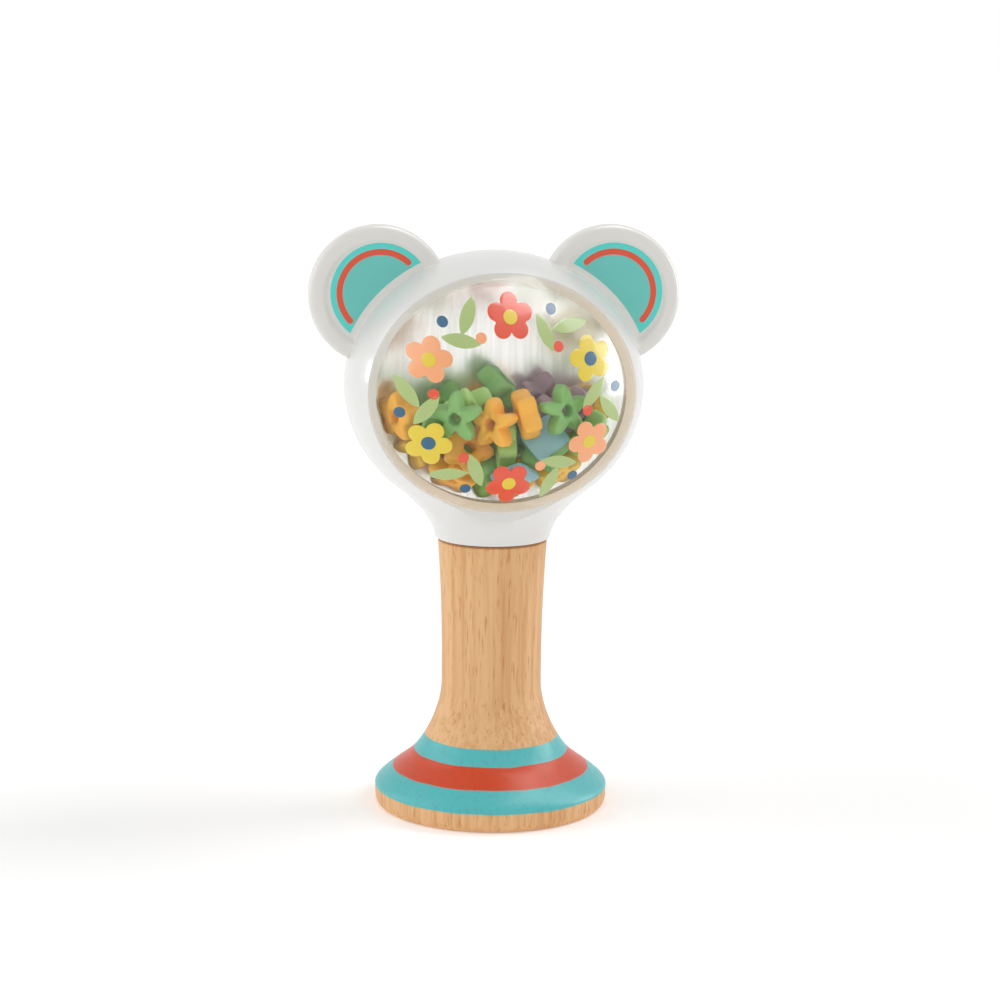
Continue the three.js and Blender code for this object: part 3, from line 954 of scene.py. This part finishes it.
def bead_pose(node, corner_turn):
    """Centre and axes of a bead, from its CAD node.

    The thinnest way through the corners is its axis, and the corner furthest from the axis, turned
    by corner_turn, gives the first axis.
    """
    corners = frame_points(node)
    box_middle = (corners.min(0) + corners.max(0)) / 2
    centre = box_middle if corner_turn else corners.mean(0)
    away = corners - centre
    axis = np.linalg.svd(away, full_matrices=False)[2][2]
    flat = away - np.outer(away @ axis, axis)
    tip = flat[np.argmax((flat**2).sum(1))]
    first = tip / np.linalg.norm(tip)
    second = np.cross(axis, first)
    turned_first = math.cos(corner_turn) * first - math.sin(corner_turn) * second
    return centre, np.stack([turned_first, np.cross(axis, turned_first), axis])


def on_dome(across, up, over, sizes):
    """Points over the head's surface, where across and up are their x and height from its centre."""
    wide = sizes.head_radius + over
    tall = sizes.head_half_height + over
    share = 1 - (across / wide) ** 2 - (up / tall) ** 2
    return spread(across, -wide * np.sqrt(np.maximum(share, 0)), sizes.head_z + up)


def printed(own_outline, turn, place, sizes, height):
    """A thin closed print on the dome.

    Its outline goes round its own middle. Rows step from the middle over the edge and back
    underneath, just inside the dome's wall.
    """
    across = np.array(PRINT_STEPS)[:, None]
    over = np.array(PRINT_HEIGHTS)[:, None] * height
    own_x = across * own_outline[0]
    own_z = across * own_outline[1]
    x = place[0] + own_x * math.cos(turn) - own_z * math.sin(turn)
    z = place[1] + own_x * math.sin(turn) + own_z * math.cos(turn)
    return shape_of(on_dome(x, z, over, sizes))


def dot_outline(radius):
    """A circle."""
    angle = turns(PRINT_SIDES)
    return radius * np.cos(angle), radius * np.sin(angle)


def flower_outline(size):
    """Five round petals: between them the radius dips with a power of the cosine's size."""
    angle = turns(PRINT_SIDES)
    petals = np.abs(np.cos(PETALS / 2 * angle)) ** PETAL_ROUNDNESS
    radius = size * (PETAL_DIP + (1 - PETAL_DIP) * petals)
    return radius * np.cos(angle), radius * np.sin(angle)


def leaf_outline(size, width):
    """A leaf with pointed ends: the cosine along it, and a signed power of the sine across it."""
    angle = turns(PRINT_SIDES)
    return size / 2 * np.cos(angle), width / 2 * signed_power(np.sin(angle), LEAF_POINTEDNESS)


def dress(piece, body, slot, *nodes):
    """Lets a piece move with a body and stand for CAD nodes."""
    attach(piece, body)
    if nodes:
        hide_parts(*nodes)
    return piece


# Operators


class MARACA_OT_handle(bpy.types.Operator):
    """Turns the beech handle with its painted foot"""

    bl_idname = "maraca.handle"
    bl_label = "Turn handle"

    def execute(self, context):
        sizes = context.scene.maraca_sizes
        finish = beech_finish(context.scene.maraca_colours, sizes)
        piece = add_piece("beech_handle", [shape_of(turned(outline(HANDLE_CURVES)))], finish)
        dress(piece, "toy", "beech", "handle")
        return {"FINISHED"}


class MARACA_OT_shells(bpy.types.Operator):
    """Moulds the two white halves of the head"""

    bl_idname = "maraca.shells"
    bl_label = "Mould shells"

    def execute(self, context):
        sizes = context.scene.maraca_sizes
        finish = white_finish(context.scene.maraca_colours)
        front = shape_of(turned(head_outline(sizes)))
        keep_side(front, FRONT_EDGE_Y * MM, 1)
        keep_side(front, -SEAM_Y * MM, -1)
        ring = add_piece("white_front_half", [front], finish)
        dress(ring, "toy", "white_plastic", "front_shell")
        back = shape_of(turned(head_outline(sizes)))
        keep_side(back, SEAM_Y * MM, 1)
        tongue = shape_of(round_head(tongue_outline(), sizes), rows_close=True)
        rear = add_piece("white_back_half", [back, tongue], finish)
        dress(rear, "toy", "white_plastic", "back_shell")
        return {"FINISHED"}


class MARACA_OT_ears(bpy.types.Operator):
    """Moulds and paints the two ears"""

    bl_idname = "maraca.ears"
    bl_label = "Mould ears"

    def execute(self, context):
        sizes = context.scene.maraca_sizes
        for side, name in ((-1, "left"), (1, "right")):
            finish = ear_finish(context.scene.maraca_colours, sizes, side)
            piece = add_piece(name + "_round_ear", [shape_of(ear_points(sizes, side))], finish)
            dress(piece, "toy", "ear_plastic", name + "_ear")
        return {"FINISHED"}


class MARACA_OT_dish(bpy.types.Operator):
    """Presses the silvered dish behind the beads"""

    bl_idname = "maraca.dish"
    bl_label = "Press dish"

    def execute(self, context):
        sizes = context.scene.maraca_sizes
        finish = silver_finish(context.scene.maraca_colours)
        piece = add_piece("silver_dish", [shape_of(dish_points(sizes))], finish)
        dress(piece, "toy", "silver", "mirror_dish")
        return {"FINISHED"}


class MARACA_OT_beads(bpy.types.Operator):
    """Makes each loose bead where its CAD node lies"""

    bl_idname = "maraca.beads"
    bl_label = "Make beads"

    def execute(self, context):
        sizes = context.scene.maraca_sizes
        colours = context.scene.maraca_colours
        finishes = {}
        for subpart in frame["record"]["subparts"]:
            node = subpart["node"]
            slot = subpart["material_slot"]
            if not slot.endswith("_bead"):
                continue
            if slot not in finishes:
                finishes[slot] = bead_finish(slot, getattr(colours, slot.removesuffix("_bead")))
            kind = node.split("_")[0]
            if kind == "chip":
                own = chip_points(sizes)
                centre, axes = bead_pose(node, math.pi / 4)
            else:
                own = bead_points(kind, sizes)
                centre, axes = bead_pose(node, 0)
            shape = shape_of(own @ axes + centre, rows_close=kind != "chip")
            dress(add_piece("bead_" + node, [shape], finishes[slot]), node, slot, node)
        return {"FINISHED"}


class MARACA_OT_dome(bpy.types.Operator):
    """Moulds the clear dome with its rim and skirt"""

    bl_idname = "maraca.dome"
    bl_label = "Mould dome"

    def execute(self, context):
        sizes = context.scene.maraca_sizes
        finish = clear_finish(context.scene.maraca_colours, sizes)
        piece = add_piece("clear_dome", [shape_of(round_head(dome_outline(sizes), sizes))], finish)
        dress(piece, "toy", "clear_plastic", "dome")
        return {"FINISHED"}


class MARACA_OT_garland(bpy.types.Operator):
    """Prints a ring of flowers, leaves and dots on the dome"""

    bl_idname = "maraca.garland"
    bl_label = "Print garland"

    def execute(self, context):
        sizes = context.scene.maraca_sizes
        garland = context.scene.maraca_print
        colours = context.scene.maraca_colours
        shapes = {"yellow": [], "red": [], "peach": [], "green": [], "blue": []}
        step = 2 * math.pi / len(GARLAND_FLOWERS)
        ring = np.array([sizes.head_radius, sizes.head_half_height]) * garland.ring_share

        def add(tint, own_outline, angle, turn=0.0, share=1.0, lift=1.0):
            place = ring * share * (math.cos(angle), math.sin(angle))
            shapes[tint].append(printed(own_outline, turn, place, sizes, garland.height * lift))

        leaf = leaf_outline(garland.leaf_length, garland.leaf_width)
        dot = dot_outline(garland.dot_radius)
        eye = dot_outline(garland.flower_radius * EYE_SHARE)
        for i, tint in enumerate(GARLAND_FLOWERS):
            angle = step * (i + 0.5)
            between = angle + step / 2
            add(tint, flower_outline(garland.flower_radius), angle, angle)
            eye_tint = "blue" if tint == "yellow" else "yellow"
            dot_tint = "peach" if tint == "red" else "red"
            add(eye_tint, eye, angle, lift=EYE_LIFT)
            add("green", leaf, between - step * LEAF_SPREAD, between + LEAF_TURNS[0], LEAF_RINGS[0])
            add("green", leaf, between + step * LEAF_SPREAD, between + LEAF_TURNS[1], LEAF_RINGS[1])
            add("blue", dot, between + step * DOT_SPREAD, share=DOT_RINGS[0])
            add(dot_tint, dot, between - step * DOT_SPREAD, share=DOT_RINGS[1])
        for tint, made in shapes.items():
            finish = print_finish("print_" + tint, getattr(colours, "print_" + tint))
            dress(add_piece("garland_" + tint, made, finish), "toy", None)
        return {"FINISHED"}


class MARACA_OT_stage(bpy.types.Operator):
    """Sets up the white floor, the light and the camera"""

    bl_idname = "maraca.stage"
    bl_label = "Set up stage"

    def execute(self, context):
        scene = context.scene
        stage = scene.maraca_stage
        scene.view_settings.view_transform = "Standard"
        self.add_floor()
        self.add_world(scene, stage)
        self.add_lights(stage)
        self.add_camera(scene, stage)
        return {"FINISHED"}

    def add_floor(self):
        """A wide flat square under the foot."""
        corners = np.array([(-1, -1, 0), (1, -1, 0), (1, 1, 0), (-1, 1, 0)]) * FLOOR_HALF
        mesh = bpy.data.meshes.new("floor")
        mesh.from_pydata(corners.tolist(), [], [(0, 1, 2, 3)])
        mesh.materials.append(floor_finish())
        floor = bpy.data.objects.new("floor", mesh)
        bpy.context.scene.collection.objects.link(floor)

    def add_world(self, scene, stage):
        """Even light, and plain white for what the camera, gloss and clear plastic see of it."""
        scene.world = scene.world or bpy.data.worlds.new("white_room")
        room = Finish(scene.world)
        path = room.node("ShaderNodeLightPath")
        seen = path + path.out("Is Glossy Ray") + path.out("Is Transmission Ray")
        strength = stage.sky_light + seen.math("MINIMUM", 1.0) * (1 - stage.sky_light)
        light = room.node(
            "ShaderNodeBackground", None, {"Color": (1.0, 1.0, 1.0, 1.0), "Strength": strength}
        )
        room.node("ShaderNodeOutputWorld", None, {"Surface": light})

    def add_lights(self, stage):
        """Soft light from the right, the left and the front, and panels that only reflections show."""
        suns = (
            ("key", stage.key_light, 28, (0.85, 0.12, 0.85)),
            ("fill", stage.fill_light, 50, (-0.95, 0.1, 0.55)),
            ("front", stage.front_light, 80, (0.2, -0.9, 0.7)),
        )
        for name, level, angle, place in suns:
            sun = bpy.data.lights.new(name, "SUN")
            sun.energy = level
            sun.angle = math.radians(angle)
            self.aim(name, sun, place, (0, 0, 0))
        panels = (
            ("panel_top", (0.2, 0.1, 0.8), 0.5, 0.4, 0.8),
            ("panel_right", (0.75, 0.12, 0.2), 0.3, 0.5, 0.6),
            ("panel_left", (-0.62, 0.32, 0.16), 0.08, 0.14, 0.05),
        )
        for name, place, width, height, share in panels:
            panel = bpy.data.lights.new(name, "AREA")
            panel.shape = "RECTANGLE"
            panel.size = width
            panel.size_y = height
            panel.energy = stage.softbox_light * share
            lamp = self.aim(name, panel, place, PANEL_TARGET)
            lamp.visible_diffuse = False

    def aim(self, name, light, place, target):
        """A lamp at a place, with its -Z towards a target."""
        lamp = bpy.data.objects.new(name, light)
        bpy.context.scene.collection.objects.link(lamp)
        way = Vector(target) - Vector(place)
        lamp.location = place
        lamp.rotation_euler = way.to_track_quat("-Z", "Y").to_euler()
        return lamp

    def add_camera(self, scene, stage):
        """The camera at the photograph's viewing angle."""
        camera = bpy.data.cameras.new("camera")
        camera.sensor_width = SENSOR_WIDTH
        camera.lens = stage.camera_lens
        camera.shift_x = stage.camera_shift
        camera.shift_y = stage.camera_rise
        holder = bpy.data.objects.new("camera", camera)
        holder.location = stage.camera_place
        level = Matrix.Rotation(-stage.camera_turn, 3, "Z")
        level = level @ Matrix.Rotation(math.pi / 2 - stage.camera_pitch, 3, "X")
        holder.rotation_euler = (level @ Matrix.Rotation(stage.camera_roll, 3, "Z")).to_euler()
        scene.collection.objects.link(holder)
        scene.camera = holder


class MARACA_PT_sidebar(bpy.types.Panel):
    """Lists the maraca's settings and its steps"""

    bl_idname = "MARACA_PT_sidebar"
    bl_label = "Maraca"
    bl_space_type = "VIEW_3D"
    bl_region_type = "UI"
    bl_category = "Maraca"

    def draw(self, context):
        for group in GROUPS:
            box = self.layout.box()
            settings = getattr(context.scene, group)
            for name in settings.bl_rna.properties.keys():
                if name not in ("rna_type", "name"):
                    box.prop(settings, name)
        for operator in OPERATORS:
            self.layout.operator(operator.bl_idname)


GROUPS = {
    "maraca_sizes": MaracaSizes,
    "maraca_colours": MaracaColours,
    "maraca_print": MaracaPrint,
    "maraca_stage": MaracaStage,
}
OPERATORS = (
    MARACA_OT_handle,
    MARACA_OT_shells,
    MARACA_OT_ears,
    MARACA_OT_dish,
    MARACA_OT_beads,
    MARACA_OT_dome,
    MARACA_OT_garland,
    MARACA_OT_stage,
)
CLASSES = (*GROUPS.values(), *OPERATORS, MARACA_PT_sidebar)


def register():
    for made in CLASSES:
        bpy.utils.register_class(made)
    for name, group in GROUPS.items():
        setattr(bpy.types.Scene, name, bpy.props.PointerProperty(type=group))


def unregister():
    for name in GROUPS:
        delattr(bpy.types.Scene, name)
    for made in reversed(CLASSES):
        bpy.utils.unregister_class(made)


def main():
    register()
    bpy.ops.maraca.handle()
    bpy.ops.maraca.shells()
    bpy.ops.maraca.ears()
    bpy.ops.maraca.dish()
    bpy.ops.maraca.beads()
    bpy.ops.maraca.dome()
    bpy.ops.maraca.garland()
    bpy.ops.maraca.stage()


if __name__ == "__main__":
    main()
